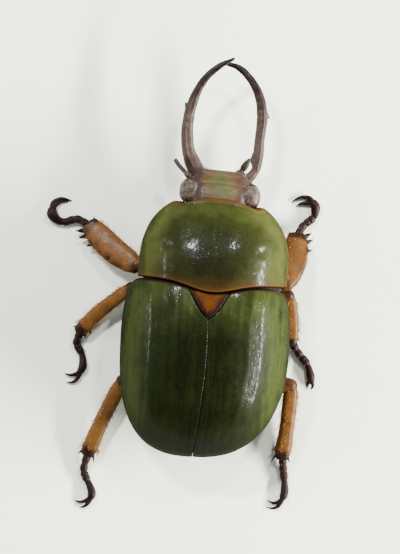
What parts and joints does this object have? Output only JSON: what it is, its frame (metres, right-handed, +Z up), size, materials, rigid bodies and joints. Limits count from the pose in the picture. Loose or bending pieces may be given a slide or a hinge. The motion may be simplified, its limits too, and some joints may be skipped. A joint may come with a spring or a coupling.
{
  "type": "fruhstorferia beetle",
  "caption": "Life-size still model of a male long-jawed leaf chafer, lying on its belly with its curved jaws crossed and its legs spread.",
  "frame": {"origin": "on the flat of the belly that rests on the floor, below the middle of the body", "axes": "+Y towards the head and jaws, +X to the beetle's own right, +Z up from the floor"},
  "size_m": [0.019, 0.0316, 0.0079],
  "materials": {
    "wing_case": "glossy chitin, dark olive green with fine pits",
    "body": "glossy chitin, brown",
    "leg": "glossy chitin, orange brown",
    "jaw": "glossy chitin, dark purplish brown",
    "eye": "smooth, grey brown"
  },
  "bodies": {
    "root": {"abdomen": "body", "antenna_left": "jaw", "antenna_right": "jaw", "chest_underside": "body", "coxa_fore_left": "body", "coxa_fore_right": "body", "coxa_hind_left": "body", "coxa_hind_right": "body", "coxa_mid_left": "body", "coxa_mid_right": "body", "elytron_left": "wing_case", "elytron_right": "wing_case", "eye_left": "eye", "eye_right": "eye", "femur_fore_left": "leg", "femur_fore_right": "leg", "femur_hind_left": "leg", "femur_hind_right": "leg", "femur_mid_left": "leg", "femur_mid_right": "leg", "head": "body", "labium": "body", "mandible_left": "jaw", "mandible_right": "jaw", "maxillary_palp_left": "jaw", "maxillary_palp_right": "jaw", "pronotum": "wing_case", "prothorax": "body", "rump_plate": "wing_case", "scutellum": "leg", "tarsus_fore_left": "jaw", "tarsus_fore_right": "jaw", "tarsus_hind_left": "jaw", "tarsus_hind_right": "jaw", "tarsus_mid_left": "jaw", "tarsus_mid_right": "jaw", "tibia_fore_left": "leg", "tibia_fore_right": "leg", "tibia_hind_left": "leg", "tibia_hind_right": "leg", "tibia_mid_left": "leg", "tibia_mid_right": "leg"}
  },
  "joints": []
}
